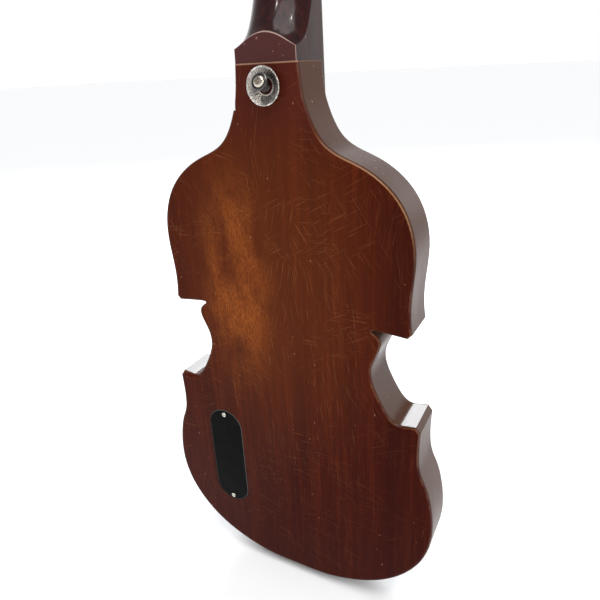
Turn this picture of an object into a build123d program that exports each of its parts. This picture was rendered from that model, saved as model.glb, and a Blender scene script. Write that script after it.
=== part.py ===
"""Violin-shaped solid-body electric bass guitar with a set neck, in millimetres.

+Z runs along the strings towards the headstock, the strings face -Y and the flat back
faces +Y. The origin is on the body's centre line at its bottom end, where the end pin goes
in. +X is the treble side, which holds the controls.
"""

import math
import os

from build123d import *

# ---- body -------------------------------------------------------------------------------
body_length = 518.0
body_thickness = 44.0
lower_bout = 292.0          # full width at the widest place
upper_bout = 242.0
waist = 173.0
neck_block_width = 56.0     # at the body's top end
lower_bout_height = 107.0   # heights above the bottom end
lower_corner_height = 221.5
waist_height = 276.0
upper_corner_height = 306.0
upper_bout_height = 379.0
lower_corner_reach = 130.8  # from the centre line
upper_corner_reach = 120.3
corner_blunt = 5.0
edge_round = 3.5
relief_length = 34.0        # the shallow relief beside the neck on the treble side
relief_reach = 30.0

# ---- strings and neck -------------------------------------------------------------------
scale_length = 775.0
saddle_height = 118.0       # height of the string saddle above the bottom end
fret_count = 20
nut_width = 42.5
board_end_width = 58.0
board_length = 540.0
board_thickness = 6.0
board_radius = 400.0
fret_width = 2.4
fret_rise = 1.1
fret_tang_width = 0.6
fret_tang_depth = 1.6
nut_length = 5.0
string_over_board = 1.9     # underside of the strings at the nut
string_over_body = 11.8     # underside of the strings at the saddle
nut_string_span = 32.0      # outer string to outer string
saddle_string_span = 57.0
string_diameters = (2.54, 2.03, 1.52, 1.10)   # E, A, D, G
tenon_width = 40.0
tenon_depth = 28.0
tenon_length = 96.0
heel_step = 0.8             # how far the heel lies inside the body's back
shaft_depth_nut = 15.5
shaft_depth_mid = 18.5
glue_gap = 0.1

# ---- headstock and tuners ---------------------------------------------------------------
head_angle = 15.0
head_length = 186.0
head_width = 79.0
head_thickness = 14.0
veneer_thickness = 1.5
tuner_offset = 26.0         # from the centre line
tuner_rows = (52.0, 122.0)  # from the head's lower end
post_radius = 4.6
post_rise = 21.0
sleeve_rise = 6.5           # the housing's sleeve, over the headstock's wood
bushing_radius = 6.5
housing_radius = 11.0
housing_length = 13.0
button_radius = 10.5
button_length = 15.0
button_stem_radius = 3.0
turning_gap = 0.15
winding_turns = 3

# ---- truss rod --------------------------------------------------------------------------
truss_rod_radius = 2.5
truss_channel_depth = 9.0
truss_pocket_length = 34.0
truss_pocket_width = 14.0
truss_pocket_depth = 10.5
truss_cover_overlap = 5.0
truss_cover_thickness = 2.0

# ---- pickup -----------------------------------------------------------------------------
pickup_width = 92.0
pickup_height = 50.0
pickup_rise = 8.0
pickup_wall = 2.5
pickup_gap_to_board = 6.0
pickup_ear = 12.0
pickup_cavity_width = 82.0
pickup_cavity_height = 42.0
pickup_cavity_depth = 18.0

# ---- bridge -----------------------------------------------------------------------------
bridge_length = 116.0
bridge_belly = 11.0         # how far the bar reaches towards the neck from the saddle
bridge_nose_radius = 4.2
bridge_floor_gap = 1.5
stud_span = 98.0
stud_radius = 4.0
stud_head_radius = 6.5
stud_head_height = 3.0
stud_bushing_radius = 6.0
stud_bushing_length = 18.0

# ---- controls ---------------------------------------------------------------------------
cover_length = 119.0
cover_width = 40.0
cover_thickness = 2.3
cover_gap = 0.5
cover_centre_x = 78.5
cover_centre_height = 125.0
cover_screw_span = 108.5
control_ledge = 10.5        # from the cover's end to the cavity's end
control_wall = 6.0          # wood left between the cavity and the front
volume_height = 152.0
tone_height = 112.0
jack_height = 84.0
pot_radius = 12.0
pot_depth = 9.5
pot_bushing_radius = 4.7
pot_shaft_radius = 3.0
knob_radius = 12.5
knob_top_radius = 10.0
knob_height = 15.0
jack_bore_radius = 3.25

# ---- strap button and end pin socket ----------------------------------------------------
strap_button_drop = 16.5    # below the body's top end
strap_lean = 20.0           # the screw leans towards the neck by this many degrees
strap_button_height = 10.5
strap_head_radius = 6.6
strap_neck_radius = 4.3
strap_foot_radius = 4.9
strap_screw_radius = 1.95
strap_cup_radius = 14.5
strap_cup_height = 5.0
strap_cup_hole = 6.3
strap_cup_wall = 0.8
socket_bore_radius = 5.0
socket_radius = 7.5
socket_depth = 45.0
socket_collar_radius = 11.0
socket_collar_height = 8.0

# ---- what follows from those sizes ------------------------------------------------------
y_back = body_thickness / 2
y_front = -body_thickness / 2          # the body's front, and the plane under the fretboard
y_board = y_front - board_thickness
nut_z = saddle_height + scale_length
board_end_z = nut_z - board_length
pickup_centre_z = board_end_z - pickup_gap_to_board - pickup_height / 2
y_cavity_floor = y_front + control_wall
button_z = body_length - strap_button_drop
head_tilt = math.radians(head_angle)
head_plane = Plane(
    origin=(0, y_front, nut_z + nut_length + 1),
    x_dir=(1, 0, 0),
    z_dir=(0, -math.cos(head_tilt), math.sin(head_tilt)),
)
strap_tilt = math.radians(strap_lean)
strap_plane = Plane(
    origin=(0, y_back, button_z),
    x_dir=(1, 0, 0),
    z_dir=(0, math.cos(strap_tilt), math.sin(strap_tilt)),
)
controls = {"volume": volume_height, "tone": tone_height}
string_names = ("e", "a", "d", "g")
tuner_spots = (
    (-tuner_offset, tuner_rows[0]),
    (-tuner_offset, tuner_rows[1]),
    (tuner_offset, tuner_rows[1]),
    (tuner_offset, tuner_rows[0]),
)


def slab(sketch, back, front):
    """A sketch drawn in X and Z, made solid from Y = back to Y = front."""
    return extrude(Plane.XZ.offset(-back) * sketch, amount=back - front)


def peg(x, z, radius, back, front):
    return slab(Pos(x, z) * Circle(radius), back, front)


def rod(start, end, radius):
    """A round bar between two points."""
    line = Line(start, end)
    return sweep(Plane(origin=start, z_dir=line % 0) * Circle(radius), path=line)


def on_head(shape):
    """Moves a shape drawn about XY onto the headstock's face."""
    return head_plane.location * shape


def head_peg(x, y, radius, low, high):
    """A cylinder square to the headstock's face, between two heights over it."""
    return on_head(Pos(x, y, (low + high) / 2) * Cylinder(radius, high - low))


def board_half_width(z):
    return nut_width / 2 + (nut_z - z) / board_length * (board_end_width - nut_width) / 2


def screw(x, z, head_y, head_radius, head_height, shank_radius, shank_length, sense):
    """A slotted screw along Y. sense is +1 with its head towards the back, else -1."""
    tip = head_y - sense * shank_length
    shank = peg(x, z, shank_radius, max(head_y, tip), min(head_y, tip))
    top = head_y + sense * head_height
    head = peg(x, z, head_radius, max(head_y, top), min(head_y, top))
    rim = head.edges().filter_by(GeomType.CIRCLE).sort_by(Axis.Y)[-1 if sense > 0 else 0]
    head = fillet(rim, head_height * 0.45)
    slot_floor = top - sense * head_height * 0.45
    slot = slab(
        Pos(x, z) * Rectangle(2 * head_radius + 1, head_radius * 0.28),
        max(top, slot_floor),
        min(top, slot_floor),
    )
    return shank + head - slot


# ---- body -------------------------------------------------------------------------------
def body_outline():
    half_lower, half_upper, half_waist = lower_bout / 2, upper_bout / 2, waist / 2
    low, high = lower_corner_height, upper_corner_height
    blunt = corner_blunt
    bottom = Line((0, 0), (0.14 * half_lower, 0))
    lower = Spline(
        bottom @ 1,
        (0.34 * half_lower, 0.017 * low),
        (0.69 * half_lower, 0.117 * low),
        (0.899 * half_lower, 0.262 * low),
        (half_lower, lower_bout_height),
        (0.947 * half_lower, 0.714 * low),
        (lower_corner_reach, low - blunt * 1.1),
        tangents=[(1, 0), (0.06, 1)],
    )
    lower_tip = Line(lower @ 1, (lower_corner_reach - blunt * 0.85, low))
    bay = Spline(
        lower_tip @ 1,
        (half_waist + 0.53 * (lower_corner_reach - half_waist), low - 1.6),
        (half_waist + 0.16 * (lower_corner_reach - half_waist), low + 0.34 * (waist_height - low)),
        (half_waist, waist_height),
        (half_waist + 0.17 * (upper_corner_reach - half_waist), high - 0.16 * (high - waist_height)),
        (upper_corner_reach - blunt * 0.75, high - 0.6),
        tangents=[(-1, -0.16), (1, -0.1)],
    )
    upper_tip = Line(bay @ 1, (upper_corner_reach, high + blunt * 0.7))
    rise = body_length - high
    half_block = neck_block_width / 2
    upper = Spline(
        upper_tip @ 1,
        (0.98 * half_upper, high + 0.13 * rise),
        (half_upper, upper_bout_height),
        (0.9 * half_upper, high + 0.52 * rise),
        (0.62 * half_upper, high + 0.652 * rise),
        (half_block + 0.2 * (half_upper - half_block), high + 0.725 * rise),
        (half_block + 0.065 * (half_upper - half_block), high + 0.83 * rise),
        (half_block, body_length),
        tangents=[(-0.16, 1), (-0.07, 1)],
    )
    top = Line(upper @ 1, (0, body_length))
    half = [bottom, lower, lower_tip, bay, upper_tip, upper, top]
    return make_face(half + [mirror(line, Plane.YZ) for line in half])


def control_slot(length, width):
    return Pos(cover_centre_x, cover_centre_height) * SlotOverall(length, width, rotation=90)


def make_body():
    blank = slab(body_outline(), y_back, y_front)
    rims = [
        edge
        for face in (blank.faces().sort_by(Axis.Y)[0], blank.faces().sort_by(Axis.Y)[-1])
        for edge in face.edges()
        if edge.center().Z < body_length - 1
    ]
    blank = fillet(rims, edge_round)
    relief = slab(
        Pos(relief_reach + 10, body_length - relief_length / 2 + 1)
        * Rectangle(20, relief_length + 2),
        y_back,
        y_front,
    )
    mortise = slab(
        Pos(0, body_length - tenon_length / 2 + 1)
        * Rectangle(tenon_width + 2 * glue_gap, tenon_length + 2),
        y_front + tenon_depth,
        y_front,
    )
    pickup_cavity = slab(
        Pos(0, pickup_centre_z)
        * RectangleRounded(pickup_cavity_width, pickup_cavity_height, 6),
        y_front + pickup_cavity_depth,
        y_front,
    )
    control_cavity = slab(
        control_slot(cover_length - 2 * control_ledge, cover_width - 6), y_back, y_cavity_floor
    )
    cover_recess = slab(
        control_slot(cover_length + 2 * cover_gap, cover_width + 2 * cover_gap),
        y_back,
        y_back - cover_thickness - 0.1,
    )
    body = blank - relief - mortise - pickup_cavity - control_cavity - cover_recess
    for height in (volume_height, tone_height, jack_height):
        body -= peg(cover_centre_x, height, pot_bushing_radius + 0.25, y_cavity_floor, y_front)
    for side in (-1, 1):
        stud_x = side * stud_span / 2
        body -= peg(
            stud_x, stud_centre_z(), stud_bushing_radius, y_front + stud_bushing_length, y_front
        )
        body -= peg(
            side * (pickup_width / 2 + pickup_ear / 2), pickup_centre_z, 1.5, y_front + 13, y_front
        )
        body -= peg(
            cover_centre_x,
            cover_centre_height + side * cover_screw_span / 2,
            1.5,
            y_back - cover_thickness - 0.1,
            y_back - 16,
        )
    body -= Pos(0, 0, socket_depth / 2) * Cylinder(socket_radius, socket_depth)
    body -= strap_plane.location * (Pos(0, 0, -5.5) * Cylinder(strap_screw_radius + 0.05, 19))
    body -= rod(pickup_lead_start(), pickup_lead_end(), 3.0)
    body -= rod(ground_wire_start(), ground_wire_end(), 1.5)
    return body


def pickup_lead_start():
    return (
        pickup_cavity_width / 2 - 2.5,
        y_front + pickup_cavity_depth - 6,
        pickup_centre_z - pickup_cavity_height / 2 + 1.6,
    )


def pickup_lead_end():
    return (
        cover_centre_x,
        y_front + pickup_cavity_depth + 1,
        cover_centre_height + cover_length / 2 - control_ledge - 8,
    )


def stud_centre_z():
    return saddle_height + 4.5


def ground_wire_start():
    return (stud_span / 2 + 3, y_front + 12, stud_centre_z())


def ground_wire_end():
    return (cover_centre_x - cover_width / 2 + 6, y_front + 12, stud_centre_z())


# ---- neck -------------------------------------------------------------------------------
def neck_section(z, half_width, depth):
    """A half ellipse across the neck at height z, flat towards the strings."""
    whole = Pos(0, y_front) * Ellipse(half_width, depth)
    half = whole & Pos(0, y_front + depth) * Rectangle(3 * half_width, 2 * depth)
    return Plane.XY.offset(z) * half


def make_neck():
    heel_depth = body_thickness - heel_step
    end_z = head_plane.origin.Z + 6
    # height over the body's top end, width beyond the board and depth of each section
    sections = [
        (0, 17.0, heel_depth * 2.3),
        (10, 7.6, heel_depth * 1.66),
        (20.5, 5.0, heel_depth),
        (32, 3.7, heel_depth * 0.79),
        (44, 2.5, heel_depth * 0.645),
        (58, 1.6, heel_depth * 0.545),
        (74, 0.9, heel_depth * 0.487),
        (83, 0.6, heel_depth * 0.463),
        (94, 0.3, heel_depth * 0.446),
        (112, 0.0, shaft_depth_mid),
    ]
    profiles = [
        neck_section(body_length + up, board_half_width(body_length + up) + beyond, depth)
        for up, beyond, depth in sections
    ]
    profiles.append(neck_section(end_z, board_half_width(end_z), shaft_depth_nut))
    curved = 7                      # sections in the heel's curve, below the straight shaft
    shaft = loft(profiles[:curved]) + loft(profiles[curved - 1:], ruled=True)
    low, high = board_half_width(body_length), board_half_width(end_z)
    sides = make_face(
        Polyline(
            (-low, body_length), (low, body_length), (high, end_z), (-high, end_z), close=True
        )
    )
    shaft &= slab(sides, y_front + heel_depth, y_front)
    shaft -= on_head(Pos(0, 50, 25) * Box(120, 100, 50))
    tenon = slab(
        Pos(0, body_length - tenon_length / 2 + glue_gap)
        * Rectangle(tenon_width, tenon_length - 2 * glue_gap),
        y_front + tenon_depth,
        y_front,
    )
    neck = shaft + tenon + head_blank(-head_thickness, 0)
    channel_top = head_plane.origin.Z + 1
    channel_bottom = body_length - tenon_length + 20
    neck -= slab(
        Pos(0, (channel_top + channel_bottom) / 2)
        * Rectangle(2 * truss_rod_radius + 1, channel_top - channel_bottom),
        y_front + truss_channel_depth,
        y_front,
    )
    neck -= on_head(
        Pos(0, truss_pocket_length / 2 - 3, -truss_pocket_depth / 2)
        * Box(truss_pocket_width, truss_pocket_length, truss_pocket_depth)
    )
    for x, y in tuner_spots:
        neck -= head_peg(x, y, bushing_radius, -head_thickness, 0)
    for x, y in truss_cover_screw_spots():
        neck -= head_peg(x, y, 1.0, -head_thickness + 4, 0)
    return neck


def head_blank(low, high):
    """The headstock's outline as a plate between two heights over its face."""
    foot = board_half_width(nut_z)
    half = head_width / 2
    side = Spline(
        (foot, 0),
        (foot + 0.42 * (half - foot), 0.115 * head_length),
        (foot + 0.86 * (half - foot), 0.36 * head_length),
        (half, 0.74 * head_length),
        (half - 2.5, 0.955 * head_length),
        tangents=[(0.1, 1), (-0.2, 1)],
    )
    crown = ThreePointArc(side @ 1, (0, head_length), (-(side @ 1).X, (side @ 1).Y))
    outline = make_face([side, crown, mirror(side, Plane.YZ), Line((-foot, 0), (foot, 0))])
    return on_head(extrude(Pos(0, 0, low) * outline, amount=high - low))


def truss_cover_screw_spots():
    beside = truss_pocket_width / 2 + 2.2
    return ((-beside, 6.5), (beside, 6.5), (0, truss_pocket_length + 1))


def truss_cover_shape():
    """A rounded wedge, wider at the nut, that covers the truss rod pocket."""
    foot, tip = truss_pocket_width / 2 + truss_cover_overlap, 6.0
    end = truss_pocket_length + 2
    side = Spline(
        (foot, 2.5), (foot - 0.5, 12), (tip + 0.8, end - 8), (tip - 1, end + 3),
        tangents=[(0, 1), (-0.3, 1)],
    )
    crown = ThreePointArc(side @ 1, (0, end + 6), (-(side @ 1).X, (side @ 1).Y))
    return make_face([side, crown, mirror(side, Plane.YZ), Line((-foot, 2.5), (foot, 2.5))])


def make_veneer():
    sheet = head_blank(0, veneer_thickness)
    sheet -= on_head(
        Pos(0, truss_pocket_length / 2 - 3, 0) * Box(truss_pocket_width, truss_pocket_length, 8)
    )
    for x, y in tuner_spots:
        sheet -= head_peg(x, y, bushing_radius, 0, veneer_thickness)
    for x, y in truss_cover_screw_spots():
        sheet -= head_peg(x, y, 1.0, 0, veneer_thickness)
    return sheet


def make_truss_rod():
    bottom = body_length - tenon_length + 22
    y = y_front + truss_channel_depth - truss_rod_radius - 0.2
    return rod((0, y, bottom), (0, y, head_plane.origin.Z - 3), truss_rod_radius)


def make_truss_nut():
    """A hexagonal nut on the rod's end, in the pocket behind the nut."""
    y = y_front + truss_channel_depth - truss_rod_radius - 0.2
    z = head_plane.origin.Z - 2.9
    return Pos(0, y, z + 4.5) * extrude(RegularPolygon(3.2, 6), amount=4.5, both=True)


def make_truss_cover():
    plate = on_head(
        extrude(Pos(0, 0, veneer_thickness) * truss_cover_shape(), amount=truss_cover_thickness)
    )
    for x, y in truss_cover_screw_spots():
        plate -= head_peg(x, y, 1.3, veneer_thickness, veneer_thickness + truss_cover_thickness)
    return plate


def make_truss_cover_screws():
    top = veneer_thickness + truss_cover_thickness
    group = []
    for x, y in truss_cover_screw_spots():
        head = Pos(x, y, top + 0.5) * Cylinder(2.1, 1.0)
        shank = Pos(x, y, top / 2 - 2.5) * Cylinder(0.95, top + 5)
        slot = Pos(x, y, top + 0.9) * Box(6, 0.6, 0.5)
        group.append(on_head(head + shank - slot))
    return Compound(children=group)


# ---- fretboard, frets and nut -----------------------------------------------------------
def camber(radius):
    """A long cylinder along Z whose front touches the plane radius - board_radius above the
    fretboard's crown."""
    return Pos(0, y_board + board_radius, nut_z / 2) * Cylinder(radius, 3 * nut_z)


def fret_height(number):
    return saddle_height + scale_length / 2 ** (number / 12)


def make_fretboard():
    low, high = board_end_width / 2, nut_width / 2
    outline = make_face(
        Polyline((-low, board_end_z), (low, board_end_z), (high, nut_z), (-high, nut_z), close=True)
    )
    board = slab(outline, y_front, y_board - 1) & camber(board_radius)
    for number in range(1, fret_count + 1):
        z = fret_height(number)
        width = 2 * board_half_width(z) + 2
        slot = slab(
            Pos(0, z) * Rectangle(width, fret_tang_width + 0.02), y_board + 2 + fret_tang_depth, y_board - 2
        )
        board -= slot - camber(board_radius - fret_tang_depth - 0.1)
    for x, z in dot_spots():
        board -= peg(x, z, dot_radius, y_board + dot_depth, y_board - 1)
    return board


dot_radius, dot_depth, dot_clearance = 3.2, 1.6, 0.02


def dot_spots():
    """One dot in the 3rd, 5th, 7th, 9th, 15th, 17th and 19th spaces, two in the 12th."""
    spots = []
    for number in (3, 5, 7, 9, 12, 15, 17, 19):
        z = (fret_height(number) + fret_height(number - 1)) / 2
        across = (-9.0, 9.0) if number == 12 else (0.0,)
        spots += [(x, z) for x in across]
    return spots


def make_frets():
    frets = []
    for number in range(1, fret_count + 1):
        z = fret_height(number)
        half = board_half_width(z) - 0.2
        crown = slab(Pos(0, z) * Rectangle(2 * half, fret_width), y_board + 3, y_board - 3)
        crown = crown & camber(board_radius + fret_rise)
        crown -= camber(board_radius)
        crest = crown.edges().filter_by(lambda e: e.length > half).sort_by(Axis.Y)[0:2]
        crown = fillet(crest, fret_rise * 0.75)
        tang = slab(
            Pos(0, z) * Rectangle(2 * half, fret_tang_width), y_board + 3 + fret_tang_depth, y_board - 1
        )
        tang = (tang & camber(board_radius)) - camber(board_radius - fret_tang_depth)
        frets.append(crown + tang)
    return Compound(children=frets)


def make_dots():
    radius = dot_radius - dot_clearance
    dots = [
        peg(x, z, radius, y_board + dot_depth, y_board - 1) & camber(board_radius)
        for x, z in dot_spots()
    ]
    return Compound(children=dots)


def string_x(index, z):
    """Where string index stands across the neck at height z."""
    along = (z - saddle_height) / scale_length
    span = saddle_string_span + (nut_string_span - saddle_string_span) * along
    return span * (index / 3 - 0.5)


def string_floor_y(z):
    """The plane that the undersides of the strings lie in."""
    at_saddle = y_front - string_over_body
    at_nut = y_board - string_over_board
    return at_saddle + (at_nut - at_saddle) * (z - saddle_height) / scale_length


def make_nut():
    width = nut_width - 0.4
    blank = slab(
        Pos(0, nut_z + nut_length / 2) * Rectangle(width, nut_length),
        y_front,
        y_board - string_over_board - 1.2,
    )
    blank = fillet(blank.edges().filter_by(Axis.X).sort_by(Axis.Y)[0:2], 1.0)
    for index, diameter in enumerate(string_diameters):
        front, rear = over_nut(index)
        middle = (front[1] + rear[1]) / 2
        way = Vector(*rear) - Vector(*front)
        blank -= slab(
            Pos(front[0], nut_z + nut_length / 2) * Rectangle(diameter + 0.5, nut_length + 2),
            middle,
            middle - 6,
        )
        blank -= rod(
            tuple(Vector(*front) - way), tuple(Vector(*rear) + way), diameter / 2 + 0.25
        )
    return blank


def over_nut(index):
    """The two points where string index bends on its way over the nut."""
    x = string_x(index, nut_z)
    y = string_floor_y(nut_z) - string_diameters[index] / 2
    return (x, y, nut_z + 1.5), (x, y + 0.3, nut_z + nut_length)


# ---- strings ----------------------------------------------------------------------------
def post_tangent(index):
    """The centre of string index at its end, just clear of the turns on its tuner post."""
    x, y = tuner_spots[index]
    inward = -math.copysign(1, x)
    reach = post_radius + string_diameters[index] + string_diameters[index] / 2 + turning_gap
    return tuple(head_plane.from_local_coords((x + inward * reach, y, lowest_turn(index))))


def lowest_turn(index):
    """How far over the headstock's wood the first turn on the post lies."""
    return sleeve_rise + 0.5 + string_diameters[index] / 2


def make_string(index):
    """Ball end, the turn round the bridge, the speaking length and the run to the post."""
    diameter = string_diameters[index]
    radius = diameter / 2
    wrap = bridge_nose_radius + radius + 0.05
    x_saddle = string_x(index, saddle_height)
    y_saddle = y_front - string_over_body - radius
    y_hole = y_saddle + 2 * wrap
    ball_z = saddle_height + bridge_belly - 3.2
    front, rear = over_nut(index)
    saddle = (x_saddle, y_saddle, saddle_height)
    anchor = Line((x_saddle, y_hole, ball_z), (x_saddle, y_hole, saddle_height))
    bend = ThreePointArc(anchor @ 1, (x_saddle, y_saddle + wrap, saddle_height - wrap), saddle)
    tail = sweep(Plane(origin=anchor @ 0, z_dir=anchor % 0) * Circle(radius), path=anchor + bend)
    route = FilletPolyline(saddle, front, rear, post_tangent(index), radius=[12.0, 8.0])
    length = sweep(Plane(origin=saddle, z_dir=route % 0) * Circle(radius), path=route)
    ball = Pos(x_saddle, y_hole, ball_z + 1.4) * Cylinder(1.95, 2.8)
    return Compound(children=[tail + length, ball])


def make_winding(index):
    """The string's turns round its post, as closed rings that lie side by side."""
    diameter = string_diameters[index]
    x, y = tuner_spots[index]
    ring = Torus(post_radius + diameter / 2 + 0.02, diameter / 2)
    turns = [
        on_head(Pos(x, y, lowest_turn(index) + turn * (diameter + 0.05)) * ring)
        for turn in range(winding_turns)
    ]
    return Compound(children=turns)


# ---- bridge -----------------------------------------------------------------------------
def make_bridge_bar():
    """A bar with a round nose under the saddle line, hooked over two studs."""
    top = -(y_front - string_over_body)
    nose = bridge_nose_radius
    centre = top - nose
    floor = -y_front + bridge_floor_gap
    z0 = saddle_height
    arc = ThreePointArc((centre - nose, z0), (centre, z0 - nose), (top, z0))
    # drawn as height over the centre plane against Z
    profile = make_face(
        [
            arc,
            Line((top, z0), (top - 2.2, z0 + 6)),
            Line((top - 2.2, z0 + 6), (floor + 4.5, z0 + bridge_belly)),
            Line((floor + 4.5, z0 + bridge_belly), (floor, z0 + bridge_belly)),
            Line((floor, z0 + bridge_belly), (floor, z0)),
            Line((floor, z0), (centre - nose, z0)),
        ]
    )
    side = Plane(origin=(-bridge_length / 2, 0, 0), x_dir=(0, -1, 0), z_dir=(1, 0, 0))
    # that plane's second direction is -Z, so the profile is turned over to match
    bar = extrude(side * mirror(profile, Plane.XZ), amount=bridge_length)
    for index, diameter in enumerate(string_diameters):
        x = string_x(index, saddle_height)
        y_hole = y_front - string_over_body - diameter / 2 + 2 * (nose + diameter / 2 + 0.05)
        bar -= rod((x, y_hole, z0 - 1), (x, y_hole, z0 + bridge_belly + 1), diameter / 2 + 0.15)
        bar -= rod(
            (x, y_hole, z0 + bridge_belly - 3.25), (x, y_hole, z0 + bridge_belly + 1), 2.1
        )
    for side_sign in (-1, 1):
        x = side_sign * stud_span / 2
        bar -= peg(x, stud_centre_z(), stud_radius + 0.1, y_front, -top - 1)
        bar -= slab(
            Pos(x, stud_centre_z() + 10) * Rectangle(2 * stud_radius + 0.2, 20), y_front, -top - 1
        )
        bar -= peg(x, stud_centre_z(), stud_head_radius + 0.3, stud_head_y(), -top - 1)
        bar -= slab(
            Pos(x, stud_centre_z() + 10) * Rectangle(2 * stud_head_radius + 0.6, 20),
            stud_head_y(),
            -top - 1,
        )
        bar -= rod((x, set_screw_y(), z0 - nose - 1), (x, set_screw_y(), stud_centre_z()), 1.5)
    return bar


def stud_head_y():
    """The underside of the stud heads, which holds the bar down."""
    return y_front - bridge_floor_gap - 6.5


def set_screw_y():
    return y_front - bridge_floor_gap - 3.4


def make_bridge_studs():
    studs = []
    for side in (-1, 1):
        x, z = side * stud_span / 2, stud_centre_z()
        shank = peg(x, z, stud_radius, y_front + stud_bushing_length - 2, stud_head_y())
        flange = peg(x, z, stud_head_radius, y_front - 0.1, y_front - bridge_floor_gap + 0.1)
        head = peg(x, z, stud_head_radius, stud_head_y(), stud_head_y() - stud_head_height)
        slot = slab(
            Pos(x, z) * Rectangle(2 * stud_head_radius + 1, 1.4),
            stud_head_y() - stud_head_height + 1.4,
            stud_head_y() - stud_head_height,
        )
        studs.append(shank + flange + head - slot)
    return Compound(children=studs)


def make_stud_bushings():
    bushings = []
    for side in (-1, 1):
        x, foot = side * stud_span / 2, y_front + stud_bushing_length
        bore = peg(x, stud_centre_z(), stud_radius + 0.05, foot, y_front)
        bushings.append(peg(x, stud_centre_z(), stud_bushing_radius, foot, y_front) - bore)
    return Compound(children=bushings)


def make_set_screws():
    screws = []
    for side in (-1, 1):
        x = side * stud_span / 2
        start = stud_centre_z() - stud_radius - 0.05
        body = rod((x, set_screw_y(), start), (x, set_screw_y(), start - 5.5), 1.45)
        slot = Pos(x, set_screw_y(), start - 5.5) * Box(3.5, 0.5, 1.4)
        screws.append(body - slot)
    return Compound(children=screws)


# ---- pickup -----------------------------------------------------------------------------
def make_pickup_cover():
    z = pickup_centre_z
    top = y_front - pickup_rise
    shell = slab(Pos(0, z) * RectangleRounded(pickup_width, pickup_height, 7), y_front, top)
    shell = fillet(shell.faces().sort_by(Axis.Y)[0].edges(), 2.0)
    for side in (-1, 1):
        x = side * (pickup_width / 2 + pickup_ear / 2 - 3)
        ear = slab(Pos(x, z) * RectangleRounded(pickup_ear + 6, 22, 5), y_front, y_front - 3)
        shell += ear
    shell -= slab(
        Pos(0, z)
        * RectangleRounded(pickup_width - 2 * pickup_wall, pickup_height - 2 * pickup_wall, 5),
        y_front,
        top + pickup_wall,
    )
    for side in (-1, 1):
        x = side * (pickup_width / 2 + pickup_ear / 2)
        shell -= peg(x, z, 1.9, y_front, y_front - 4)
    for index in range(4):
        shell -= peg(string_x(index, pole_z()), pole_z(), pole_radius + 0.3, y_front, top - 1)
    return shell


pole_radius = 3.0


def pole_z():
    return pickup_centre_z + pickup_height / 2 - 11


def pickup_floor():
    return y_front + pickup_cavity_depth


def make_pickup_baseplate():
    plate = slab(
        Pos(0, pickup_centre_z)
        * RectangleRounded(pickup_cavity_width - 2, pickup_cavity_height - 2, 5),
        pickup_floor(),
        pickup_floor() - 2,
    )
    return plate


def make_pickup_coil():
    """Two moulded end plates with the winding between them, round the pole screws' core."""
    z = pickup_centre_z
    low = pickup_floor() - 2.1
    high = y_front - pickup_rise + pickup_wall + 0.6
    flange = RectangleRounded(72, 36, 5)
    coil = slab(Pos(0, z) * flange, low, low - 2) + slab(Pos(0, z) * flange, high + 2, high)
    coil += slab(Pos(0, z) * RectangleRounded(64, 28, 8), low - 2, high + 2)
    coil -= slab(Pos(0, z - 3) * Rectangle(54, 12), low, low - 6)
    for index in range(4):
        coil -= peg(string_x(index, pole_z()), pole_z(), pole_radius - 1.3, low - 4, high)
    return coil


def make_pickup_magnet():
    low = pickup_floor() - 2.1
    return slab(Pos(0, pickup_centre_z - 3) * Rectangle(53.6, 11.6), low - 0.1, low - 5.8)


def make_pole_screws():
    poles = []
    high = y_front - pickup_rise + pickup_wall + 0.6
    top = y_front - pickup_rise - 0.9
    for index in range(4):
        x, z = string_x(index, pole_z()), pole_z()
        head = peg(x, z, pole_radius, high - 0.05, top)
        head = fillet(head.edges().filter_by(GeomType.CIRCLE).sort_by(Axis.Y)[0], 0.5)
        shank = peg(x, z, pole_radius - 1.35, pickup_floor() - 6.2, high - 1)
        slot = slab(Pos(x, z) * Rectangle(8, 1.0), top + 1, top)
        poles.append(head + shank - slot)
    return Compound(children=poles)


def make_pickup_screws():
    screws = [
        screw(side * (pickup_width / 2 + pickup_ear / 2), pickup_centre_z, y_front - 3.05,
              3.2, 1.8, 1.45, 14, -1)
        for side in (-1, 1)
    ]
    return Compound(children=screws)


# ---- controls ---------------------------------------------------------------------------
def make_pot(height):
    x = cover_centre_x
    can = peg(x, height, pot_radius, y_cavity_floor + 1 + pot_depth, y_cavity_floor + 1)
    can = fillet(can.edges().filter_by(GeomType.CIRCLE).sort_by(Axis.Y)[-1], 1.5)
    deck = slab(Pos(x, height) * RectangleRounded(17, 17, 2), y_cavity_floor + 1, y_cavity_floor)
    bushing = peg(x, height, pot_bushing_radius, y_cavity_floor, y_front - 5)
    pot = can + deck + bushing
    for offset in (-5, 0, 5):
        pot += Pos(x - pot_radius - 1.5, y_cavity_floor + 2.5, height + offset) * Box(6, 0.8, 2.4)
    return pot - peg(x, height, pot_shaft_radius + 0.08, y_cavity_floor + 7, y_front - 6)


def make_pot_shaft(height):
    return peg(cover_centre_x, height, pot_shaft_radius, y_cavity_floor + 6.8, y_front - 16)


def make_control_nuts():
    """A washer and a hexagonal nut hold each control and the output jack to the front."""
    pieces = []
    for height in (volume_height, tone_height, jack_height):
        pieces += [front_nut(height, 7.0), front_washer(height, 8.5)]
    return Compound(children=pieces)


def front_washer(height, radius):
    ring = peg(cover_centre_x, height, radius, y_front, y_front - 0.8)
    return ring - peg(cover_centre_x, height, pot_bushing_radius + 0.05, y_front, y_front - 0.8)


def front_nut(height, radius):
    hexagon = Pos(cover_centre_x, height) * RegularPolygon(radius, 6)
    nut = slab(hexagon, y_front - 0.8, y_front - 3.2)
    return nut - peg(cover_centre_x, height, pot_bushing_radius + 0.05, y_front, y_front - 4)


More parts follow.
